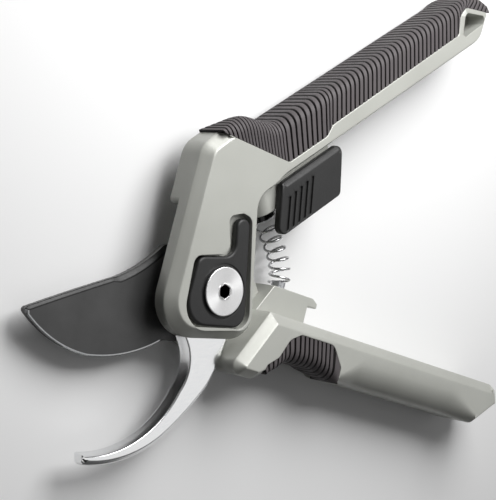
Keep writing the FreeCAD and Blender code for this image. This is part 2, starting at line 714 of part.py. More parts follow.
def build_slider_screws():
    """Two screws from the runner's back into the thumb plate."""
    screws = []
    for number, (x, y) in enumerate(SLIDER_SCREWS, start=1):
        parts = []
        for name, radius, bottom, depth in (
                ("head", "sizes.screw_head", "sizes.runner_back", "sizes.screw_head_depth"),
                ("shank", "sizes.screw_radius", "sizes.runner_back + sizes.screw_head_depth",
                 "sizes.slider_front - sizes.screw_floor - sizes.runner_back - sizes.screw_head_depth")):
            rod = doc.addObject("Part::Cylinder", f"slider_screw_{name}_{number}")
            place = turned((x, y), size("upper_turn"))
            rod.Placement.Base = Vector(*place, 0)
            rod.setExpression("Radius", radius)
            rod.setExpression("Height", depth)
            rod.setExpression("Placement.Base.z", bottom)
            parts.append(rod)
        screw = doc.addObject("Part::Fuse", f"slider_screw_{number}")
        screw.Base, screw.Tool = parts
        screws.append(screw)
    group = doc.addObject("Part::Compound", "slider_screws")
    group.Label = "slider_screws"
    group.Links = screws
    nodes.append(group)


def build_leaf_spring():
    """Arched leaf above the runner's head, that holds the slider by friction."""
    body = new_body("bar_leaf_spring", "upper_turn")
    roof = TEE_TOP + size("leaf_room")
    leaf = size("leaf_depth")
    start = size("runner_start") + 1.0
    end = start + size("leaf_length")
    middle = (start + end) / 2
    curves = [Part.Arc(flat(start, roof - leaf), flat(middle, TEE_TOP), flat(end, roof - leaf)),
              Part.LineSegment(flat(end, roof - leaf), flat(end, roof)),
              Part.Arc(flat(end, roof), flat(middle, TEE_TOP + leaf), flat(start, roof)),
              Part.LineSegment(flat(start, roof), flat(start, roof - leaf))]
    pad(body, "strip", curves, "sizes.tee_centre - sizes.leaf_width / 2", "sizes.leaf_width")


def build_cup():
    """Seat in the boss for the spring's upper end."""
    body = new_body("spring_cup", "upper_turn")
    outer = circle(size("cup_at"), size("spring_height"), size("cup_radius"))
    inner = circle(size("cup_at"), size("spring_height"), size("cup_radius") - size("cup_wall"))
    pad(body, "cup", outer, "-sizes.cup_floor", "sizes.cup_floor - sizes.cup_end", "XZ_Plane")
    pocket(body, "bore", inner, "-sizes.cup_end", "sizes.cup_floor - sizes.cup_end - sizes.cup_wall",
           "XZ_Plane")


def build_stub():
    """Stub pressed into the latch plate's upper side, inside the spring's lower coils."""
    body = new_body("spring_stub", "lower_turn")
    stub = circle(size("stub_at"), size("spring_height"), size("stub_radius"))
    peg = circle(size("stub_at"), size("spring_height"), size("peg_radius"))
    pad(body, "stub", stub, "-sizes.latch_top - sizes.stub_height", "sizes.stub_height", "XZ_Plane")
    pad(body, "peg", peg, "-sizes.latch_top", "sizes.peg_depth", "XZ_Plane")


def build_return_spring():
    """Open coil spring, bent in the plane of the arms: half coils from side to side, end to end."""
    level = size("spring_height")
    wire = size("wire_radius")
    upper, lower = size("upper_turn"), size("lower_turn")
    inside = size("cup_floor") - size("cup_wall") - 2 * wire
    start = flat(*turned((size("cup_at"), inside), upper))
    finish = flat(*turned((size("stub_at"), size("latch_top") + 2 * wire), lower))
    reach = (finish - start).Length
    leave = start + flat(*turned((0, -1), upper)) * reach * 0.4
    arrive = finish - flat(*turned((0, -1), lower)) * reach * 0.3
    points = []
    steps = int(2 * size("coil_turns"))
    for index in range(steps + 1):
        part = index / steps
        here = (start * (1 - part) ** 3 + leave * 3 * part * (1 - part) ** 2
                + arrive * 3 * part ** 2 * (1 - part) + finish * part ** 3)
        along = ((leave - start) * (1 - part) ** 2 + (arrive - leave) * 2 * part * (1 - part)
                 + (finish - arrive) * part ** 2).normalize()
        side = 1 if index % 2 else -1
        points.append(here + Vector(-along.y, along.x, 0) * COIL_RADIUS * side + UP * level)
    edges = []
    for index in range(steps):
        first, last = points[index], points[index + 1]
        bulge = UP * ((last - first).Length / 2 * (1 if index % 2 else -1))
        edges.append(Part.Arc(first, (first + last) / 2 + bulge, last).toShape())
    path = Part.Wire(edges)
    section = Part.Wire([Part.Circle(points[0], UP, wire).toShape()])
    spring = doc.addObject("Part::Feature", "return_spring")
    spring.Label = "return_spring"
    spring.Shape = path.makePipeShell([section], True, False)
    nodes.append(spring)


build_upper_handle()
build_upper_grip()
build_hook_jaw()
rods("hook_rivets", HOOK_RIVETS, "sizes.rivet_radius", f"{HOOK_BACK}", f"{BLIND_END - HOOK_BACK}",
     "upper_turn")
rods("stop_pin", STOP_PIN, "sizes.stop_pin_radius", f"{PIN_BACK}", f"{BLIND_END - PIN_BACK}", "upper_turn")
build_cutting_blade()
rods("blade_screws", BLADE_SCREWS, "sizes.screw_radius", "sizes.screw_floor",
     f"{BLADE_FRONT} - sizes.screw_floor", "lower_turn")
build_lower_handle()
build_lower_grip()
build_bolt()
tube("pivot_bushing", f"{BUSHING_RADIUS}", "sizes.shank_radius + sizes.running_gap", f"{NUT_SEAT}",
     f"{BLADE_FRONT - NUT_SEAT}")
tube("pivot_nut", "sizes.nut_radius", "sizes.shank_radius", "0", "sizes.nut_depth")
tube("spring_washer", "sizes.nut_radius", "sizes.shank_radius + sizes.running_gap", "sizes.nut_depth",
     "sizes.spring_washer_depth")
tube("lever_washer", "sizes.disc_radius", "sizes.collar_radius + sizes.running_gap", f"{RECESS_FLOOR}",
     "sizes.washer_depth")
build_lever()
build_slider()
build_lock_bar()
build_slider_screws()
build_leaf_spring()
build_cup()
build_stub()
build_return_spring()

doc.recompute()
for item in doc.Objects:
    if "Invalid" in item.State or "Error" in item.State:
        raise ValueError(f"{item.Name} failed: {item.State}")
os.makedirs("parts", exist_ok=True)
for node in nodes:
    if node.Shape.isNull() or not node.Shape.isValid():
        raise ValueError(f"{node.Label} has no valid shape")
    print(f"{node.Label}: {len(node.Shape.Solids)} solid(s), {node.Shape.Volume:.1f} mm3")
    node.Shape.exportStep(f"parts/{node.Label}.step")
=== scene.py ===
"""Looks of the bypass pruner: painted castings, ribbed grips, polished hook, coated blade, spring.

Lengths are in millimetres until a mesh is made.  Each arm has its own local frame: x along its
bar, y square to it, turned about the pivot as in the CAD part.
"""
import math

import bmesh
import bpy
from mathutils import Matrix, Vector


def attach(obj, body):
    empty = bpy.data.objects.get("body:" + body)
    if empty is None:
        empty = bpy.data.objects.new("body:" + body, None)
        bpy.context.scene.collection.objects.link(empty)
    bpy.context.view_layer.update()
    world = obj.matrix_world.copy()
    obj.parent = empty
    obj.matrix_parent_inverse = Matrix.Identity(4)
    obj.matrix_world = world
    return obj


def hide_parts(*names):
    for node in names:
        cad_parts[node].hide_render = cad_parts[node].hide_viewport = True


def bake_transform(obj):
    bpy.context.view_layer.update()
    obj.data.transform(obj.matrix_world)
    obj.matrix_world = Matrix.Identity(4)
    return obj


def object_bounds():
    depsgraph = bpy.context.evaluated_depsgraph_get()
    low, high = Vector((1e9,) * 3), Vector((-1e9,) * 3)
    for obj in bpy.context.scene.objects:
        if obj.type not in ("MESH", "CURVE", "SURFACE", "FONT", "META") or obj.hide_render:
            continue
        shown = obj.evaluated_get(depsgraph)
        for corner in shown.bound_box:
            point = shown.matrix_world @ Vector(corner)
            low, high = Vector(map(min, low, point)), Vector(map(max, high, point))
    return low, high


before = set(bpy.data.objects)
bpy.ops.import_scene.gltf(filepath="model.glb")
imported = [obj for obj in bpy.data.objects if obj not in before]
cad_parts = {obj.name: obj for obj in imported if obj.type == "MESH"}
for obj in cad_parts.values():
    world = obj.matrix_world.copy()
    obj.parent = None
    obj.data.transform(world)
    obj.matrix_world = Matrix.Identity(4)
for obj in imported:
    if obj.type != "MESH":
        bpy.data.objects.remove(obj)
cad_low, cad_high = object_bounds()

MM = 0.001
UPPER_TURN = 22.4
LOWER_TURN = -21.9
DEPTH = 21.0
FRONT = cad_high.z / MM

UPPER = Matrix.Rotation(math.radians(UPPER_TURN), 4, "Z")
LOWER = Matrix.Rotation(math.radians(LOWER_TURN), 4, "Z")
# outline in (x, z), heights along y
ACROSS = Matrix(((1, 0, 0, 0), (0, 0, 1, 0), (0, 1, 0, 0), (0, 0, 0, 1)))
# heights counted the other way, so that a plate's front faces back
FLIPPED = Matrix.Scale(-1, 4, (0, 0, 1))

PROFILE_POINTS = 9
ARC_STEP = math.radians(9)
UNDIVIDED = 50.0             # spacing that leaves every edge of a small outline whole


# ---------------------------------------------------------------- outlines and edge finishes

def chamfer(depth, width):
    """Finish of an edge cut at a slant, softened on both sides, as (depth, inset) points."""
    return [(depth + 0.5, 0.0), (depth + 0.15, 0.03), (depth - 0.15, 0.2),
            (0.66 * depth, 0.36 * width), (0.33 * depth, 0.69 * width),
            (0.16 * depth, 0.86 * width), (0.05 * depth, 0.97 * width),
            (0.01 * depth, width + 0.15), (0.0, width + 0.45)]


def turn_over(depth, width=None):
    """Finish of an edge with a round that reaches that far down and in."""
    width = width or depth
    points = []
    for k in range(PROFILE_POINTS):
        angle = k / (PROFILE_POINTS - 1) * math.pi / 2
        points.append((depth * (1 - math.sin(angle)), width * (1 - math.cos(angle))))
    return points


def mixed(first, second, share):
    """Finish between two finishes."""
    return [(a[0] + (b[0] - a[0]) * share, a[1] + (b[1] - a[1]) * share)
            for a, b in zip(first, second)]


CRISP = turn_over(0.35)
SOFT = turn_over(0.8)


def tapered(start, end, first, second, steps=6):
    """Corners along a straight edge whose finish runs from the first to the second."""
    corners = []
    for k in range(steps):
        x, y = (a + (b - a) * k / steps for a, b in zip(start, end))
        corners.append((x, y, 0, mixed(first, second, k / steps)))
    return corners


def polygon(radius, count, centre=(0.0, 0.0)):
    """Corners of a regular polygon, as (x, y, 0)."""
    x, y = centre
    turns = [2 * math.pi * k / count for k in range(count)]
    return [(x + radius * math.cos(turn), y + radius * math.sin(turn), 0) for turn in turns]


def corner_arc(before, here, after, radius):
    """Points of the arc that rounds one corner."""
    first, second = (before - here).normalized(), (after - here).normalized()
    half = first.angle(second) / 2
    if radius == 0 or half > math.pi / 2 - 0.01:
        return [here]
    reach = min(radius / math.tan(half), (before - here).length * 0.499,
                (after - here).length * 0.499)
    radius = reach * math.tan(half)
    centre = here + (first + second).normalized() * (radius / math.sin(half))
    start, end = here + first * reach - centre, here + second * reach - centre
    sweep = start.angle_signed(end)
    steps = max(2, math.ceil(abs(sweep) / ARC_STEP))
    return [centre + Matrix.Rotation(-sweep * k / steps, 2) @ start for k in range(steps + 1)]


def rounded(corners, finish=CRISP, spacing=2.5):
    """Outline as points and edge finishes, through corners (x, y, radius[, finish]).

    A corner's finish is that of the edge that follows it.
    """
    count = len(corners)
    places = [Vector(corner[:2]) for corner in corners]
    finishes = [corner[3] if len(corner) > 3 else finish for corner in corners]
    points, edges = [], []
    for i in range(count):
        arc = corner_arc(places[i - 1], places[i], places[(i + 1) % count], corners[i][2])
        for k, point in enumerate(arc):
            points.append(point)
            share = (k + 0.5) / (len(arc) - 1) if len(arc) > 1 else 1.0
            edges.append(mixed(finishes[i - 1], finishes[i], min(1.0, share)))
    return divided(points, edges, spacing)


def arc_through(start, middle, end, step=1.2):
    """Points of the arc from start through middle, its end left out."""
    a, b, c = Vector(start), Vector(middle), Vector(end)
    if (b - a).cross(c - a) == 0:
        return [a]
    first, second = (b - a).length_squared, (c - a).length_squared
    cross = 2 * (b - a).cross(c - a)
    offset = Vector(((c - a).y * first - (b - a).y * second,
                     (b - a).x * second - (c - a).x * first)) / cross
    centre, radius = a + offset, offset.length
    sweep = -(a - centre).angle_signed(c - centre)
    if (sweep > 0) != (cross > 0):
        sweep -= math.copysign(2 * math.pi, sweep)
    steps = max(2, math.ceil(abs(sweep) * radius / step))
    return [centre + Matrix.Rotation(sweep * k / steps, 2) @ (a - centre) for k in range(steps)]


def traced(start, runs):
    """Outline of runs (middle of its arc or None, end, finish), closed back to its start."""
    points, edges = [], []
    here = start
    for middle, end, finish in runs:
        added = arc_through(here, middle, end) if middle else [Vector(here)]
        points += added
        edges += [finish] * len(added)
        here = end
    return points, edges


def divided(points, edges, spacing):
    """Same outline with its long edges cut into shorter ones."""
    out_points, out_edges = [], []
    for i, point in enumerate(points):
        following = points[(i + 1) % len(points)]
        parts = max(1, round((following - point).length / spacing))
        for k in range(parts):
            out_points.append(point.lerp(following, k / parts))
            out_edges.append(edges[i])
    return out_points, out_edges


def open_path(corners, spacing=0.3):
    """Open path through corners (x, y, radius), as evenly spaced points."""
    places = [Vector(corner[:2]) for corner in corners]
    points = [places[0]]
    for i in range(1, len(corners) - 1):
        points += corner_arc(places[i - 1], places[i], places[i + 1], corners[i][2])
    points.append(places[-1])
    length = sum((b - a).length for a, b in zip(points, points[1:]))
    steps = round(length / spacing)
    return [along(points, length * k / steps) for k in range(steps + 1)]


def along(points, distance):
    """Point of a path at that distance from its start."""
    for a, b in zip(points, points[1:]):
        step = (b - a).length
        if distance <= step and step > 0:
            return a.lerp(b, distance / step)
        distance -= step
    return points[-1].copy()


def distance_to(points, place):
    """Distance along a path to its point nearest to a place."""
    place = Vector(place)
    best = min(range(len(points)), key=lambda k: (points[k] - place).length)
    return sum((b - a).length for a, b in zip(points[:best], points[1:best + 1]))


def inset_by(points, insets):
    """Outline with every edge moved inwards by its own inset."""
    count = len(points)
    area = sum(points[i - 1].cross(points[i]) for i in range(count))
    side = 1 if area > 0 else -1
    directions = [(points[(i + 1) % count] - points[i]).normalized() for i in range(count)]
    moved = []
    for i in range(count):
        before, after = directions[i - 1], directions[i]
        inward = [Vector((-d.y, d.x)) * side for d in (before, after)]
        first, second = insets[i - 1], insets[i]
        cross = before.cross(after)
        if abs(cross) > 0.25:
            shift = (after * first - before * second) * side / cross
        else:
            middle = (inward[0] + inward[1]).normalized()
            shift = middle * (first + second) / 2 / max(0.5, middle.dot(inward[0]))
        moved.append(points[i] + shift)
    return moved


# ---------------------------------------------------------------- skins made of shells

class Skin:
    """Mesh under construction, made of closed shells in millimetres."""

    def __init__(self, matrix):
        self.mesh = bmesh.new()
        self.matrix = matrix
        self.flat = set()

    def ring(self, points, levels):
        """Loop of vertices; levels holds one height for each point."""
        return [self.mesh.verts.new(self.matrix @ Vector((point.x, point.y, level)))
                for point, level in zip(points, levels)]

    def bridge(self, first, second, material=0, chosen=None):
        """Wall between two loops of the same length; chosen holds one material number per face."""
        count = len(first)
        for i in range(count):
            k = (i + 1) % count
            face = self.mesh.faces.new((first[i], first[k], second[k], second[i]))
            face.material_index = chosen[i] if chosen else material

    def cap(self, loops):
        """Flat cover between loops, the first being the outer one."""
        edges = []
        for loop in loops:
            for i, vertex in enumerate(loop):
                other = loop[(i + 1) % len(loop)]
                edge = self.mesh.edges.get((vertex, other))
                edges.append(edge if edge else self.mesh.edges.new((vertex, other)))
        filled = bmesh.ops.triangle_fill(self.mesh, edges=edges,
                                         use_beauty=True, use_dissolve=False)
        self.flat.update(item for item in filled["geom"] if isinstance(item, bmesh.types.BMFace))

    def plate(self, outline, back, front, back_finish=CRISP, hollows=(), trim=None):
        """Plate between two heights; a hollow is (outline, its floor or None for a through hole).

        The back's finish is one for all edges, or a function from a point to its edge's finish.
        trim is a function from a point to the material number of the front's edge there.
        """
        points, edges = outline
        behind = [back_finish(point) if callable(back_finish) else back_finish for point in points]
        loops = []
        for k in range(PROFILE_POINTS - 1, -1, -1):
            loops.append(self.slice(points, behind, k, back, 1))
        for k in range(PROFILE_POINTS):
            loops.append(self.slice(points, edges, k, front, -1))
        chosen = [trim(point) for point in points] if trim else None
        for k, (first, second) in enumerate(zip(loops, loops[1:])):
            self.bridge(first, second, chosen=chosen if k >= PROFILE_POINTS else None)
        mouths, exits = [], []
        for hole, floor in hollows:
            mouth, end = self.hollow(hole, back, front, floor)
            mouths.append(mouth)
            if floor is None:
                exits.append(end)
        self.cap([loops[-1]] + mouths)
        self.cap([loops[0]] + exits)

    def slice(self, points, edges, k, level, side):
        """Loop at the k-th point of every edge's finish; side is the way into the plate."""
        depths = [max(edges[i - 1][k][0], edges[i][k][0]) for i in range(len(points))]
        moved = inset_by(points, [edge[k][1] for edge in edges])
        return self.ring(moved, [level + side * depth for depth in depths])

    def hollow(self, outline, back, front, floor, rim=0.3):
        """Walls of a hole or pocket, with a softened rim; returns its front and its far loop."""
        points = outline[0]
        count = len(points)
        mouth = None
        previous = None
        for inset, depth in ((-rim, 0.0), (-0.3 * rim, 0.3 * rim), (0.0, rim)):
            loop = self.ring(inset_by(points, [inset] * count), [front - depth] * count)
            mouth = mouth or loop
            if previous:
                self.bridge(previous, loop)
            previous = loop
        end = back if floor is None else floor
        last = self.ring(points, [end] * count)
        self.bridge(previous, last)
        if floor is not None:
            self.cap([last])
        return mouth, last

    def loft(self, rows, marked=()):
        """Closed shell through rows of points, capped at both ends; marked strips take material 1."""
        loops = [[self.mesh.verts.new(self.matrix @ point) for point in row] for row in rows]
        for k, (first, second) in enumerate(zip(loops, loops[1:])):
            self.bridge(first, second, 1 if k in marked else 0)
        for loop in (loops[0], loops[-1]):
            half = len(loop) // 2
            for k in range(half - 1):
                self.mesh.faces.new((loop[k], loop[k + 1], loop[-2 - k], loop[-1 - k]))

    def finished(self, name, materials, body, replaced=(), sharp=38):
        """Object made of the shells, riding on a body; edges above sharp degrees stay sharp."""
        bmesh.ops.recalc_face_normals(self.mesh, faces=self.mesh.faces)
        bmesh.ops.scale(self.mesh, vec=(MM, MM, MM), verts=self.mesh.verts)
        for face in self.mesh.faces:
            face.smooth = face not in self.flat
        data = bpy.data.meshes.new(name)
        self.mesh.to_mesh(data)
        self.mesh.free()
        data.set_sharp_from_angle(angle=math.radians(sharp))
        covers = {key for face in data.polygons if not face.use_smooth
                  for key in face.edge_keys}
        for edge in data.edges:
            if edge.key in covers:
                edge.use_edge_sharp = True
        obj = bpy.data.objects.new(name, data)
        bpy.context.scene.collection.objects.link(obj)
        for material in materials:
            data.materials.append(material)
        weighted = obj.modifiers.new("flat_faces_stay_flat", "WEIGHTED_NORMAL")
        weighted.keep_sharp = True
        weighted.weight = 80
        if body:
            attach(obj, body)
        for node in replaced:
            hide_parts(node)
        return obj


# ---------------------------------------------------------------- materials

class Shader:
    """Node material under construction round one Principled BSDF."""

    def __init__(self, name):
        self.material = bpy.data.materials.new(name)
        self.material.use_nodes = True
        self.tree = self.material.node_tree
        self.surface = self.tree.nodes["Principled BSDF"]
        self.place = self.tree.nodes.new("ShaderNodeTexCoord").outputs["Object"]
        self.bumped = None

    def set(self, **values):
        """Constant values of the surface's own sockets."""
        for key, value in values.items():
            self.surface.inputs[key.replace("_", " ")].default_value = value

    def noise(self, scale, detail=3.0, stretch=None):
        """Noise with scale cells per metre; stretch is (scale of each axis, turn about z)."""
        node = self.tree.nodes.new("ShaderNodeTexNoise")
        node.inputs["Scale"].default_value = scale
        node.inputs["Detail"].default_value = detail
        node.inputs["Roughness"].default_value = 0.6
        source = self.place
        if stretch:
            mapping = self.tree.nodes.new("ShaderNodeMapping")
            mapping.inputs["Rotation"].default_value = (0, 0, stretch[1])
            mapping.inputs["Scale"].default_value = stretch[0]
            self.tree.links.new(source, mapping.inputs["Vector"])
            source = mapping.outputs["Vector"]
        self.tree.links.new(source, node.inputs["Vector"])
        return node.outputs["Fac"]

    def between(self, fac, low, high, start=0.3, end=0.7):
        """Number that runs from low to high as fac runs from start to end."""
        node = self.tree.nodes.new("ShaderNodeMapRange")
        for key, value in (("From Min", start), ("From Max", end), ("To Min", low), ("To Max", high)):
            node.inputs[key].default_value = value
        self.tree.links.new(fac, node.inputs["Value"])
        return node.outputs["Result"]

    def blend(self, fac, first, second):
        """Colour between two colours or colour outputs."""
        node = self.tree.nodes.new("ShaderNodeMix")
        node.data_type = "RGBA"
        for key, value in ((6, first), (7, second)):
            if isinstance(value, tuple):
                node.inputs[key].default_value = (*value, 1)
            else:
                self.tree.links.new(value, node.inputs[key])
        self.tree.links.new(fac, node.inputs[0])
        return node.outputs[2]

    def tones(self, fac, first, second):
        """Colour that wanders between two colours as fac does."""
        return self.blend(self.between(fac, 0, 1), first, second)

    def edges(self, start, end):
        """1 on convex edges, 0 on flat faces and in hollows."""
        geometry = self.tree.nodes.new("ShaderNodeNewGeometry")
        return self.between(geometry.outputs["Pointiness"], 0.0, 1.0, start, end)

    def bump(self, fac, height, strength=1.0):
        """Adds relief of that height, in metres."""
        node = self.tree.nodes.new("ShaderNodeBump")
        node.inputs["Strength"].default_value = strength
        node.inputs["Distance"].default_value = height
        self.tree.links.new(fac, node.inputs["Height"])
        if self.bumped:
            self.tree.links.new(self.bumped, node.inputs["Normal"])
        self.bumped = node.outputs["Normal"]
        self.tree.links.new(self.bumped, self.surface.inputs["Normal"])

    def colour(self, output):
        """Links the base colour."""
        self.tree.links.new(output, self.surface.inputs["Base Color"])

    def rough(self, output):
        """Links the roughness."""
        self.tree.links.new(output, self.surface.inputs["Roughness"])


def painted_metal():
    """Warm grey-green satin paint on a die casting, lighter on its convex edges: partly thinner
    paint, partly a painted highlight.
    """
    shader = Shader("painted_casting")
    body = shader.tones(shader.noise(45, 2), (0.435, 0.440, 0.405), (0.470, 0.476, 0.440))
    # convex edges lighter: partly paint worn thin, partly a painted highlight along the edges
    shader.colour(shader.blend(shader.edges(0.53, 0.60), body, (0.66, 0.67, 0.63)))
    shader.rough(shader.between(shader.noise(900, 2), 0.34, 0.46))
    shader.bump(shader.noise(1500, 2), 0.00004, 0.35)
    shader.set(Metallic=0.25, Coat_Weight=0.25, Coat_Roughness=0.25)
    return shader.material


def rubber(name, dark, light):
    """Moulded rubber between two colours, matt and finely textured."""
    shader = Shader(name)
    shader.colour(shader.tones(shader.noise(60, 3), dark, light))
    shader.rough(shader.between(shader.noise(700, 3), 0.52, 0.68))
    shader.bump(shader.noise(3500, 3), 0.00005, 0.5)
    shader.set(Specular_IOR_Level=0.35)
    return shader.material


def metal(name, grain, dark, light, rough, relief):
    """Bare metal whose colour, roughness and relief follow one grain."""
    shader = Shader(name)
    marks = shader.noise(*grain)
    shader.colour(shader.tones(marks, dark, light))
    shader.rough(shader.between(marks, *rough))
    shader.bump(marks, *relief)
    shader.set(Metallic=1.0)
    return shader.material


def coated_steel(name, dark, light, worn):
    """Dark low-friction coating on the blade, slightly cloudy, with faint grinding lines."""
    shader = Shader(name)
    cloud = shader.noise(70, 3)
    lines = shader.noise(600, 3, ((1, 12, 1), math.radians(-25)))
    body = shader.tones(cloud, (dark, dark, dark), (light, light, light))
    shader.colour(shader.blend(shader.edges(0.54, 0.62), body, (worn, worn, worn)))
    shader.rough(shader.between(lines, 0.36, 0.50))
    shader.bump(lines, 0.000012, 0.35)
    shader.set(Metallic=0.45)
    return shader.material


def spun_steel():
    """Lathe-turned steel of the bolt's head, with rings that fan out its gloss."""
    shader = Shader("spun_steel")
    rings = shader.tree.nodes.new("ShaderNodeTexWave")
    rings.wave_type = "RINGS"
    rings.rings_direction = "Z"
    rings.inputs["Scale"].default_value = 900
    rings.inputs["Distortion"].default_value = 0.6
    shader.tree.links.new(shader.place, rings.inputs["Vector"])
    fac = rings.outputs["Fac"]
    share = shader.between(fac, 0, 1, 0, 1)
    shader.colour(shader.blend(share, (0.80, 0.80, 0.80), (0.90, 0.90, 0.90)))
    shader.rough(shader.between(fac, 0.24, 0.34, 0, 1))
    shader.bump(fac, 0.000006, 0.3)
    tangent = shader.tree.nodes.new("ShaderNodeTangent")
    tangent.direction_type = "RADIAL"
    tangent.axis = "Z"
    shader.tree.links.new(tangent.outputs["Tangent"], shader.surface.inputs["Tangent"])
    shader.set(Metallic=1.0, Anisotropic=0.75)
    return shader.material


def black_plastic():
    """Charcoal moulded plastic, finely spark-eroded, rubbed lighter on its edges."""
    shader = Shader("black_plastic")
    body = shader.tones(shader.noise(50, 2), (0.015, 0.015, 0.015), (0.022, 0.022, 0.022))
    shader.colour(shader.blend(shader.edges(0.55, 0.64), body, (0.055, 0.055, 0.055)))
    shader.rough(shader.between(shader.noise(1200, 3), 0.40, 0.54))
    shader.bump(shader.noise(2600, 3), 0.00004, 0.45)
    shader.set(Specular_IOR_Level=0.45)
    return shader.material


def glossy_black():
    """Smooth black plastic of the spring's cup."""
    shader = Shader("glossy_black")
    cloud = shader.noise(300, 2)
    shader.colour(shader.tones(cloud, (0.006, 0.006, 0.006), (0.012, 0.012, 0.012)))
    shader.rough(shader.between(cloud, 0.10, 0.18))
    shader.bump(cloud, 0.00002, 0.3)
    shader.set(Coat_Weight=0.6, Coat_Roughness=0.05)
    return shader.material


def pale_floor():
    """Plain pale studio floor."""
    shader = Shader("pale_floor")
    shader.colour(shader.tones(shader.noise(3, 2), (0.86, 0.86, 0.86), (0.88, 0.88, 0.88)))
    shader.set(Roughness=0.9, Specular_IOR_Level=0.1)
    return shader.material


PAINT = painted_metal()
RUBBER = rubber("grip_rubber", (0.080, 0.071, 0.074), (0.102, 0.092, 0.095))
# painted shade: near-black rubber for the groove strips, standing in for the shade that falls in the
# grooves
GROOVE_SHADE = rubber("grip_groove_painted_shade", (0.006, 0.005, 0.005), (0.010, 0.008, 0.008))
# mirror-like, with faint grinding marks along the hook
POLISHED = metal("polished_steel", (500, 4, ((1, 9, 1), math.radians(-10))),
                 (0.80, 0.81, 0.82), (0.88, 0.88, 0.88), (0.10, 0.20), (0.00001, 0.3))
# freshly ground
EDGE = metal("ground_edge", (2500, 2),
             (0.42, 0.43, 0.44), (0.55, 0.56, 0.56), (0.3, 0.42), (0.00001, 0.4))
COATED = coated_steel("coated_steel", 0.062, 0.080, 0.14)
# painted shade: a darker copy of the blade's coating for the spine band, standing in for its darker
# reflection
SPINE_SHADE = coated_steel("coated_spine_painted_shade", 0.016, 0.024, 0.035)
SPUN = spun_steel()
# bright plating with small crystals and dull spots
ZINC = metal("zinc_steel", (900, 2),
             (0.50, 0.51, 0.53), (0.66, 0.67, 0.68), (0.25, 0.45), (0.00001, 0.4))
# sintered, finely pored
BRONZE = metal("bronze", (4000, 3),
               (0.36, 0.21, 0.09), (0.52, 0.33, 0.15), (0.35, 0.55), (0.00002, 0.4))
PLASTIC = black_plastic()
GLOSSY = glossy_black()
# drawn wire with fine die lines
WIRE = metal("spring_wire", (1800, 3, ((1, 1, 6), 0.0)),
             (0.52, 0.52, 0.53), (0.74, 0.74, 0.75), (0.14, 0.26), (0.00001, 0.3))


# ---------------------------------------------------------------- upper arm
# pairs are the heights of a plate's back and front

OVERLAP = 1.0                # how far the plates behind the cheek reach into it
CHEEK_BACK = 12.9
HEAD_BACK = 8.0
RECESS_FLOOR = 18.0
UNDERSIDE = 20.5             # y of the bar's lower edge
BAR_CORE = (3.2, 17.8)
HUMP_CORE = (HEAD_BACK + 2.2, 17.8)
RAIL = (3.0, 17.5)
BOSS = (-24.0, -11.4)        # along y, flipped
BOSS_FLOOR = -19.0
CUP_AT = 34.2
CUP_LEVEL = 8.0
CUP_MOUTH = 5.62
WIDE = chamfer(3.1, 3.4)
SLIM = chamfer(1.9, 1.2)
TIP = (159.4, 28.2)
GRIP_BORDER = [(22.3, 45.6, 0), (43.6, 24.2, 2.5), (63.0, 24.2, 2), (67.0, 26.5, 2),
               (140.2, 27.6, 2), (143.5, 33.5, 2.5), (148.0, 35.2, 3), (*TIP, 0)]
GRIP_TOP = [(21.9, 46.5, 0), (33.5, 46.5, 9), (44.0, 38.0, 8), (150.5, 38.0, 8),
            (157.0, 36.2, 4), (160.4, 31.0, 1.0), (160.0, 29.6, 0)]
RECESS = [(-5.2, 16.2, 3.2), (-20.3, -2.0, 8.4), (4.0, -16.9, 5.4), (20.9, 15.2, 3.0),
          (18.5, 18.4, 2.4), (12.5, 20.7, 2.4), (7.9, 9.3, 3.5)]
EYE = [(141.5, 25.4, 1.3), (147.2, 33.5, 2.2), (156.6, 28.1, 1.6), (154.6, 25.9, 1.2)]


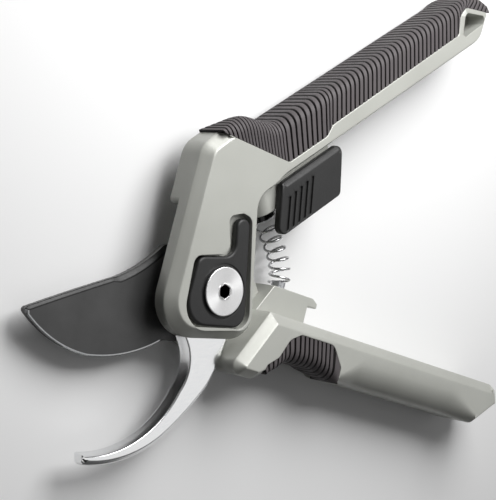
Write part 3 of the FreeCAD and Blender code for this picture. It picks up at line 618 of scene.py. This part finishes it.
def upper_handle():
    """Casting: cheek and head with a wide chamfer, bar with its band, core, rail and boss."""
    skin = Skin(UPPER)
    border = [(x, y, radius, CRISP) for x, y, radius in GRIP_BORDER[:0:-1]]
    border[0] = (*TIP, 1.5, CRISP)
    face = [(-29.0, 0.3, 12.5, WIDE), (3.0, -20.6, 7, CRISP), (26.3, UNDERSIDE, 8, CRISP),
            (37.0, UNDERSIDE, 0, mixed(CRISP, SLIM, 0.5)), (39.0, UNDERSIDE, 0, SLIM),
            (151.2, UNDERSIDE, 9, SLIM), *border, (22.3, 45.6, 0, WIDE), (14.6, 45.2, 8, WIDE)]
    skin.plate(rounded(face), CHEEK_BACK, DEPTH, SOFT,
               [(rounded(RECESS), RECESS_FLOOR), (rounded(EYE), None)])
    head = [(-0.5, 29.65, 2), (26.3, 27.0, 3), (33.0, 21.4, 2), (60, UNDERSIDE, 0), (60, 24.2, 0),
            (43.6, 24.2, 2.5), (22.3, 45.6, 0), (14.6, 45.2, 8)]
    skin.plate(rounded(head), HEAD_BACK, CHEEK_BACK + OVERLAP, turn_over(1.2))
    bar = [(33.5, 34.4, 2), (33.5, UNDERSIDE, 2), (151.2, UNDERSIDE, 9),
           *(corner[:3] for corner in border[:-1]), (43.6, 24.2, 2.5)]
    skin.plate(rounded(bar), 0.0, CHEEK_BACK + OVERLAP, turn_over(1.0), [(rounded(EYE), None)])
    core = [(47.0, 22.0, 0), (138.0, 25.0, 0), (146.0, 34.9, 4), (47.0, 34.9, 0)]
    skin.plate(rounded(core), *BAR_CORE, SOFT)
    hump = [(26.0, 30, 2), (36.0, 23.0, 2), (48.0, 23.0, 0), (48.0, 34.6, 0), (33.0, 43.3, 6),
            (24.0, 43.0, 3)]
    skin.plate(rounded(hump), *HUMP_CORE, SOFT)
    rail = [(34.0, 18.5, 0.6), (65.0, 18.5, 1.2), (65.0, 22.5, 0), (34.0, 22.5, 0)]
    skin.plate(rounded(rail), *RAIL, SOFT)
    boss = [(26.7, 1.0, 5.5), (41.2, 1.0, 5.5), (41.2, 17.5, 5.5), (26.7, 17.5, 5.5)]
    mouth = polygon(CUP_MOUTH, 32, (CUP_AT, CUP_LEVEL))
    skin.matrix = UPPER @ ACROSS @ FLIPPED
    skin.plate(rounded(boss), *BOSS, CRISP, [(rounded(mouth), BOSS_FLOOR)])
    skin.finished("upper_casting", [PAINT], "upper", ["upper_handle"])


# ---------------------------------------------------------------- ribbed grips

RIB_SAMPLES = (0.0, 0.06, 0.12, 0.17, 0.24, 0.5, 0.76, 0.83, 0.88, 0.94)
RIB_FLAT = 0.60              # share of the pitch that is level
RIB_SIDE = 0.34              # share of the pitch that runs down into the groove
GROOVE_DEPTH = 0.8
GROOVE_SHARE = 0.36          # deepest groove as a share of the pitch
GROOVE_MARK = 0.3            # depths of a strip's two sides together, from where it is a groove
GRIP_SHEET = 1.8
GRIP_CLEARANCE = 0.05        # how far a grip's faces stay inside the casting's
GRIP_SHARP = 60
ROUND_STEPS = 6


def smooth(value):
    """Smooth step between 0 and 1."""
    value = min(1.0, max(0.0, value))
    return value * value * (3 - 2 * value)


def rib_stations(border, edge, ties):
    """Rib lines as (border point, edge point, depth of the groove there).

    A tie is (place on the border, place on the edge, ribs up to the next tie).
    """
    stations = []
    for (place, end, ribs), (next_place, next_end, _) in zip(ties, ties[1:]):
        first, last = distance_to(border, place), distance_to(border, next_place)
        far_first, far_last = distance_to(edge, end), distance_to(edge, next_end)
        pitch = (abs(far_last - far_first) + abs(last - first)) / 2 / max(1, ribs)
        deepest = min(GROOVE_DEPTH, GROOVE_SHARE * pitch)
        for rib in range(ribs):
            for sample in RIB_SAMPLES:
                share = (rib + sample) / ribs
                groove = smooth((abs(2 * sample - 1) - RIB_FLAT) / RIB_SIDE) * deepest
                stations.append((along(border, first + (last - first) * share),
                                 along(edge, far_first + (far_last - far_first) * share), groove))
    stations.append((along(border, last), along(edge, far_last), 0.0))
    return stations


def in_grooves(stations):
    """Numbers of the strips between stations that lie in a groove; these take the painted groove
    shade.
    """
    return {k for k, (first, second) in enumerate(zip(stations, stations[1:]))
            if first[2] + second[2] > GROOVE_MARK}


def wrapped(border, edge, groove, back, rounds, under=1.0):
    """Section of a grip: out over the front, round the edge, in over the back, then back inside.

    Grooves keep their depth on the front; under is the share of it left at the outer edge.
    """
    reach = edge - border
    length = max(reach.length, 0.3)
    out = reach / length
    outer, inner = [], []
    sides = ((-1, DEPTH - GRIP_CLEARANCE, rounds[0], 0.6), (1, back, rounds[1], 0.85))
    for side, level, radius, most in sides:
        rows = []
        radius = min(radius, most * length)
        for share in (0.0, 0.25, 0.5, 0.75):
            rows.append(((length - radius) * share, 0.0, level, 0.0, 1.0))
        for k in range(ROUND_STEPS + 1):
            angle = k / ROUND_STEPS * math.pi / 2
            rows.append((length - radius + radius * math.sin(angle), radius * (1 - math.cos(angle)),
                         level, math.sin(angle), math.cos(angle)))
        if side > 0:
            rows.reverse()
        for distance, drop, face, outward, facing in rows:
            left = groove * (facing + (1 - facing) * under if side < 0 else under)
            for depth, row in ((left, outer), (min(GRIP_SHEET, 0.6 * radius + 0.3), inner)):
                place = border + out * max(0.0, distance - depth * outward)
                row.append(Vector((place.x, place.y, face + side * (drop + depth * facing))))
    return outer + inner[::-1]


def upper_grip():
    """Overmoulded grip with ribs that fan over the head's hump and over the tip."""
    skin = Skin(UPPER)
    border, edge = open_path(GRIP_BORDER), open_path(GRIP_TOP)
    ties = [((22.3, 45.6), (21.9, 46.5), 4), ((28.3, 39.6), (29.0, 46.5), 14),
            ((43.2, 24.6), (47.4, 38.0), 8), ((63.0, 24.2), (68.6, 38.0), 2),
            ((67.0, 26.5), (72.2, 38.0), 30), ((139.8, 27.6), (144.4, 38.0), 11),
            ((159.4, 28.2), (160.0, 29.6), 0)]
    fall_from, fall_length = 33.0, 13.0
    stations = rib_stations(border, edge, ties)
    rows = []
    for border_point, edge_point, groove in stations:
        fallen = smooth((edge_point.x - fall_from) / fall_length)
        back = GRIP_CLEARANCE + HEAD_BACK * (1 - fallen)
        rows.append(wrapped(border_point, edge_point, groove, back, (4.5, 7.5)))
    skin.loft(rows, in_grooves(stations))
    skin.finished("upper_grip_skin", [RUBBER, GROOVE_SHADE], "upper", ["upper_grip"],
                  GRIP_SHARP)


LOW_GRIP_BORDER = [(26.5, -20.9, 0), (26.6, -18.8, 1.5), (31.2, -15.2, 3), (34.4, -8.4, 4),
                   (39.0, -5.7, 3), (55.4, -5.7, 4), (61.4, -12.5, 3), (61.5, -18.1, 0)]
LOW_GRIP_EDGE = [(27.6, -21.9, 0), (36.0, -16.2, 5), (50.0, -15.9, 6), (58.5, -18.2, 5),
                 (61.6, -18.2, 0)]


def lower_grip():
    """Finger insert under the lower bar's root, ribbed on its sides."""
    skin = Skin(LOWER)
    border, edge = open_path(LOW_GRIP_BORDER), open_path(LOW_GRIP_EDGE)
    ties = [((26.5, -20.9), (27.6, -21.9), 1), ((27.0, -18.4), (28.6, -21.2), 4),
            ((33.0, -11.5), (34.6, -17.0), 3), ((38.4, -5.9), (41.6, -16.1), 8),
            ((55.6, -5.9), (58.8, -18.2), 1), ((61.5, -18.1), (61.6, -18.2), 0)]
    rise, rise_from, rise_length = 7.0, 52.0, 9.0
    stations = rib_stations(border, edge, ties)
    rows = []
    for border_point, edge_point, groove in stations:
        back = GRIP_CLEARANCE + rise * smooth((edge_point.x - rise_from) / rise_length)
        rows.append(wrapped(border_point, edge_point, groove, back, (5.5, 9.0), 0.15))
    skin.loft(rows, in_grooves(stations))
    skin.finished("lower_grip_skin", [RUBBER, GROOVE_SHADE], "lower", ["lower_grip"],
                  GRIP_SHARP)


# ---------------------------------------------------------------- lower arm

LOWER_CORE = (2.4, 18.6)
HUB = (3.35, 5.3)
LATCH = (0.5, 10.6)
HUB_SHELL = (-3.4, 0.0)      # flipped
NUT_FLOOR = -3.38
NUT_SEAT = 7.4
HOOK = (8.4, CHEEK_BACK)
BLADE = (HUB[1], 8.3)


def lower_handle():
    """Casting: bar with a wide chamfer above and a round below, hub plate, latch plate."""
    skin = Skin(LOWER)
    under, end = turn_over(7.5, 11.5), chamfer(2.6, 2.0)
    bar = [(24.9, -1.2, 0, WIDE), (12.0, -24.3, 5.5, chamfer(3.1, 2.6)),
           (24.0, -24.3, 3, chamfer(3.1, 2.2)), (26.3, -22.8, 0, CRISP)]
    bar += [(x, y, radius, CRISP) for x, y, radius in LOW_GRIP_BORDER[1:-1]]
    bar += tapered((61.5, -18.1), (72.0, -18.05), turn_over(4.0, 4.0), under)
    bar += tapered((72.0, -18.05), (124.0, -18.0), under, under, 1)
    bar += tapered((124.0, -18.0), (141.5, -18.0), under, end)
    bar += [(141.5, -18.0, 2, end), (153.0, -8.6, 2, chamfer(2.2, 1.6)), (149.5, -1.2, 2, WIDE)]
    bottom, grip_end, fade_from, fade_length = -17.5, 61.0, 122.0, 18.0

    def behind(point):
        """Wide round along the underside, a narrow one elsewhere."""
        if point.y > bottom or point.x < grip_end:
            return turn_over(2.2)
        return mixed(turn_over(7.0), turn_over(2.2), smooth((point.x - fade_from) / fade_length))
    skin.plate(rounded(bar), 0.0, DEPTH, behind)
    core = [(22.0, -10, 0), (22.0, -21.0, 3), (36.0, -13.8, 4), (50.0, -13.6, 5),
            (58.0, -15.7, 4), (66.0, -15.7, 0), (66.0, -6.0, 0)]
    skin.plate(rounded(core), *LOWER_CORE, SOFT)
    hub = [(15.0, 14.0, 9), (26.0, 9.0, 3), (34.0, 0.0, 3), (34.0, -8.0, 3), (14.0, -22.5, 4),
           (-14.0, -14.0, 12), (-14.0, 14.0, 12)]
    skin.plate(rounded(hub), *HUB, CRISP)
    latch = [(30.8, 8.7, 0.6), (24.6, -2.0, 1), (25.5, -6.0, 0), (48.5, -6.0, 0),
             (48.5, 5.5, 0.6), (52.9, 5.5, 0.5), (52.9, 7.3, 0.5), (50.4, 8.7, 0.6)]
    skin.plate(rounded(latch), *LATCH, CRISP)
    skin.matrix = LOWER @ FLIPPED
    skin.plate(rounded(hub), *HUB_SHELL, CRISP, [(rounded(polygon(NUT_SEAT, 40)), NUT_FLOOR)])
    skin.finished("lower_casting", [PAINT], "lower", ["lower_handle"])


def hook_jaw():
    """Hooked counter blade: polished, bevelled outside, its cutting wall slanted."""
    skin = Skin(UPPER)
    wall, bevel = chamfer(3.6, 1.0), chamfer(1.1, 1.5)
    outline = traced((-15.8, -8.0), [
        ((-17.6, -17.6), (-24.7, -23.2), wall), ((-44.0, -27.9), (-64.4, -20.7), wall),
        (None, (-65.2, -20.7), SOFT), (None, (-66.3, -23.2), SOFT), (None, (-65.9, -24.2), SOFT),
        ((-52.8, -31.5), (-36.9, -34.0), bevel), ((-24.0, -32.2), (-13.4, -29.4), bevel),
        ((-4.5, -24.3), (2.5, -18.5), bevel), (None, (14.0, 0.0), CRISP),
        (None, (11.0, 11.5), CRISP), (None, (-6.0, 17.5), CRISP), (None, (-14.3, 6.0), CRISP),
        (None, (-15.8, -8.0), CRISP)])
    skin.plate(outline, *HOOK, CRISP)
    skin.finished("hook_skin", [POLISHED], "upper", ["hook_jaw"])


def cutting_blade():
    """Curved blade: dark coating, bevelled spine coloured with a painted shade, bright line along the
    ground edge.
    """
    skin = Skin(LOWER)
    line, spine = chamfer(0.2, 0.3), chamfer(0.9, 1.9)
    fine = chamfer(0.6, 1.0)
    outline = traced((-9.0, -19.7), [
        ((-22.5, -27.4), (-36.9, -30.9), line), ((-51.0, -28.8), (-62.5, -23.0), line),
        (None, (-62.75, -22.0), fine), (None, (-62.2, -21.1), fine),
        ((-48.0, -12.9), (-33.2, -4.7), fine), ((-25.0, 1.5), (-18.0, 9.5), spine),
        (None, (-8.0, 15.0), CRISP), (None, (6.0, 14.0), CRISP), (None, (15.0, 5.0), CRISP),
        (None, (14.5, -8.0), CRISP), (None, (5.0, -17.5), CRISP), (None, (-9.0, -19.7), CRISP)])
    # dark is the painted shade of the spine band
    coated, ground, dark = range(3)
    tang = -9.5

    def surface(point):
        """Plain coating at the pivot, ground steel along the edge, a painted shade along the spine.
        """
        if point.x > tang:
            return coated
        return ground if point.y < min(-19.8, -22.9 + 0.25 * (point.x + 62.7)) else dark
    skin.plate(outline, *BLADE, chamfer(2.2, 0.3), (), surface)
    skin.finished("blade_skin", [COATED, EDGE, SPINE_SHADE], "lower", ["cutting_blade"])


# ---------------------------------------------------------------- pieces on the cheek

LEVER = [(-3.5, 14.9, 3), (-19.2, -0.8, 8), (2.8, -15.9, 5), (20.5, 15.2, 2.8),
         (15.6, 18.1, 2.8), (9.5, 7.5, 4)]
LEVER_BACK, LEVER_FRONT = 18.3, 20.7
SEAT, SEAT_FLOOR = 8.9, 20.35
DISC, COLLAR, SHANK = 8.0, 5.5, 4.0
SOCKET_ACROSS, SOCKET_DEPTH = 4.0, 3.0
COLLAR_BACK = 18.0
SLIDER = (17.8, 20.8)
SLIDER_GROOVES = 5
SLIDER_FLOOR = 20.1


def circle(radius):
    """Round outline on the pivot."""
    return rounded(polygon(radius, 64), CRISP, UNDIVIDED)


def tension_lever():
    """Lever in the cheek's recess, its rim turned over, a shallow seat round the bolt's disc."""
    skin = Skin(UPPER)
    skin.plate(rounded(LEVER, turn_over(0.9)), LEVER_BACK, LEVER_FRONT, CRISP,
               [(circle(SEAT), SEAT_FLOOR)])
    skin.finished("lever_skin", [PLASTIC], "tension", ["tension_lever"])


def pivot_bolt():
    """Bolt: dished disc with a hex socket, collar and shank."""
    skin = Skin(UPPER)
    hexagon = polygon(SOCKET_ACROSS / math.sqrt(3), 6)
    points, _ = circle(DISC)
    dish = [(0.30, 0.0), (0.14, 0.04), (0.05, 0.12), (0.0, 0.25), (0.0, 0.6), (0.04, 2.0),
            (0.10, 3.6), (0.13, 4.6), (0.14, 5.2)]
    disc = (points, [dish] * len(points))
    skin.plate(disc, LEVER_FRONT, FRONT, CRISP,
               [(rounded(hexagon, CRISP, UNDIVIDED), FRONT - SOCKET_DEPTH)])
    skin.plate(circle(COLLAR), COLLAR_BACK, LEVER_FRONT, CRISP)
    skin.plate(circle(SHANK), 0.0, COLLAR_BACK, CRISP)
    skin.finished("bolt_skin", [SPUN], "upper", ["pivot_bolt"], 30)


def lock_slider():
    """Thumb plate: sloped along its top, five rounded grooves on its fore half."""
    skin = Skin(UPPER)
    top = chamfer(0.7, 2.0)
    plate = [(28.2, 3.2, 2.5, CRISP), (60.8, 3.2, 2.5, SOFT), (69.4, 19.2, 2.5, top),
             (38.0, 19.2, 1.5, SOFT)]
    lean = (38.0 - 28.2) / 16.0
    first, pitch, width = 32.2, 2.9, 1.5
    grooves = []
    for number in range(SLIDER_GROOVES):
        left = first + pitch * number
        low, high = 4.0, 13.8 + 0.3 * number
        shift = (high - low) * lean
        groove = [(left, low, 0.4), (left + width, low, 0.4), (left + width + shift, high, 0.7),
                  (left + shift, high, 0.7)]
        grooves.append((rounded(groove, CRISP, 1.2), SLIDER_FLOOR))
    skin.plate(rounded(plate), *SLIDER, SOFT, grooves)
    skin.finished("slider_skin", [PLASTIC], "lock", ["lock_slider"])


# ---------------------------------------------------------------- return spring

COILS = 9
COIL_STEPS = 36
COIL_RADIUS = 3.45
WIRE_RADIUS = 0.45
WIRE_SIDES = 10
SPRING_TOP = 17.3
SPRING_FOOT = (CUP_AT + 0.5, 9.6)


def spring_axis():
    """Bent axis of the spring, as the four points of a Bezier curve."""
    start = UPPER @ Vector((CUP_AT, SPRING_TOP, CUP_LEVEL))
    finish = LOWER @ Vector((*SPRING_FOOT, CUP_LEVEL))
    reach = (finish - start).length
    leave = start + UPPER @ Vector((0, -0.4 * reach, 0))
    arrive = finish - LOWER @ Vector((0, -0.3 * reach, 0))
    return start, leave, arrive, finish


def return_spring():
    """Coil spring between the cup and the latch plate's stub, wound round a bent axis."""
    start, leave, arrive, finish = spring_axis()
    skin = Skin(Matrix.Identity(4))
    depth_axis = Vector((0, 0, 1))
    path = []
    total = COILS * COIL_STEPS
    for k in range(total + 1):
        part = k / total
        rest = 1 - part
        here = (start * rest ** 3 + leave * 3 * part * rest ** 2
                + arrive * 3 * part ** 2 * rest + finish * part ** 3)
        ahead = ((leave - start) * rest ** 2 + (arrive - leave) * 2 * part * rest
                 + (finish - arrive) * part ** 2)
        side = ahead.normalized().cross(depth_axis)
        angle = 2 * math.pi * COILS * part
        path.append(here + side * COIL_RADIUS * math.cos(angle)
                    + depth_axis * COIL_RADIUS * math.sin(angle))
    turns = [2 * math.pi * k / WIRE_SIDES for k in range(WIRE_SIDES)]
    rings = []
    for k, point in enumerate(path):
        ahead = (path[min(total, k + 1)] - path[max(0, k - 1)]).normalized()
        across = ahead.cross(Vector((0.3, 0.2, 0.93))).normalized()
        up = ahead.cross(across)
        rings.append([skin.mesh.verts.new(
            point + (across * math.cos(turn) + up * math.sin(turn)) * WIRE_RADIUS)
            for turn in turns])
    for first, second in zip(rings, rings[1:]):
        skin.bridge(first, second)
    skin.mesh.faces.new(rings[0])
    skin.mesh.faces.new(rings[-1][::-1])
    spring = skin.finished("spring_coil", [WIRE], None, ["return_spring"], 80)
    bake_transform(spring)


# ---------------------------------------------------------------- pieces shown as in the CAD part

CARRIED = {"hook_rivets": ZINC, "stop_pin": ZINC, "blade_screws": ZINC, "pivot_bushing": BRONZE,
           "pivot_nut": ZINC, "spring_washer": ZINC, "lever_washer": ZINC, "lock_bar": PLASTIC,
           "slider_screws": ZINC, "bar_leaf_spring": WIRE, "spring_cup": GLOSSY,
           "spring_stub": ZINC}


def carried():
    """Gives every shown CAD node its material."""
    for node, material in CARRIED.items():
        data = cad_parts[node].data
        data.materials.clear()
        data.materials.append(material)


# ---------------------------------------------------------------- stage, lights, camera

FLOOR_HALF = 3.0
FLOOR_GAP = 0.0005


def stage():
    """Plain pale floor under the object."""
    mesh = bmesh.new()
    bmesh.ops.create_grid(mesh, x_segments=4, y_segments=4, size=FLOOR_HALF)
    data = bpy.data.meshes.new("floor")
    mesh.to_mesh(data)
    mesh.free()
    floor = bpy.data.objects.new("floor", data)
    floor.location = (0.0, 0.0, cad_low.z - FLOOR_GAP)
    floor.visible_diffuse = False
    data.materials.append(pale_floor())
    bpy.context.scene.collection.objects.link(floor)


def lamp(name, place, target, size, power):
    """Soft square lamp that faces a target."""
    data = bpy.data.lights.new(name, "AREA")
    data.shape = "RECTANGLE"
    data.size = data.size_y = size
    data.energy = power
    obj = bpy.data.objects.new(name, data)
    obj.location = place
    obj.rotation_mode = "QUATERNION"
    obj.rotation_quaternion = (Vector(target) - Vector(place)).to_track_quat("-Z", "Y")
    bpy.context.scene.collection.objects.link(obj)
    return obj


def lights():
    """Soft key near the upper bar, weak fill, a card that only the gloss shows."""
    lamp("key", (0.10, 0.23, 0.24), (0.06, 0.04, 0.0), 0.26, 1.65)
    lamp("fill", (-0.05, -0.30, 0.70), (0.0, 0.0, 0.0), 0.5, 0.15)
    card = lamp("card", (0.62, -0.13, 0.70), (0.0, 0.0, 0.0), 0.6, 0.8)
    card.visible_diffuse = False


def surroundings():
    """White surroundings, brighter on one side than on the other."""
    world = bpy.data.worlds.new("surroundings")
    bpy.context.scene.world = world
    world.use_nodes = True
    tree = world.node_tree
    facing = tree.nodes.new("ShaderNodeVectorMath")
    facing.operation = "DOT_PRODUCT"
    facing.inputs[1].default_value = (0.65, 0.55, 0.3)
    direction = tree.nodes.new("ShaderNodeTexCoord").outputs["Generated"]
    tree.links.new(direction, facing.inputs[0])
    strength = tree.nodes.new("ShaderNodeMapRange")
    for key, value in (("From Min", -0.6), ("From Max", 0.8), ("To Min", 0.015), ("To Max", 0.24)):
        strength.inputs[key].default_value = value
    tree.links.new(facing.outputs["Value"], strength.inputs["Value"])
    background = tree.nodes["Background"]
    tree.links.new(strength.outputs["Result"], background.inputs["Strength"])
    background.inputs["Color"].default_value = (1.0, 1.0, 1.0, 1)
    bpy.context.scene.view_settings.view_transform = "Standard"


def camera():
    """Camera that sees the cheek from its left, close enough for some perspective."""
    right = Vector((0.74338962, -0.03807134, 0.66777425))
    up = Vector((0.11972645, 0.98982799, -0.0768513))
    back = Vector((-0.65805582, 0.1370807, 0.740386))
    place = Matrix.Translation((-0.287456, 0.074258, 0.356794))
    data = bpy.data.cameras.new("camera")
    data.lens = 100.8
    data.sensor_width = 36.0
    obj = bpy.data.objects.new("camera", data)
    obj.matrix_world = place @ Matrix((right, up, back)).transposed().to_4x4()
    bpy.context.scene.collection.objects.link(obj)
    bpy.context.scene.camera = obj


upper_handle()
upper_grip()
lower_handle()
lower_grip()
hook_jaw()
cutting_blade()
tension_lever()
pivot_bolt()
lock_slider()
return_spring()
carried()
stage()
lights()
surroundings()
camera()
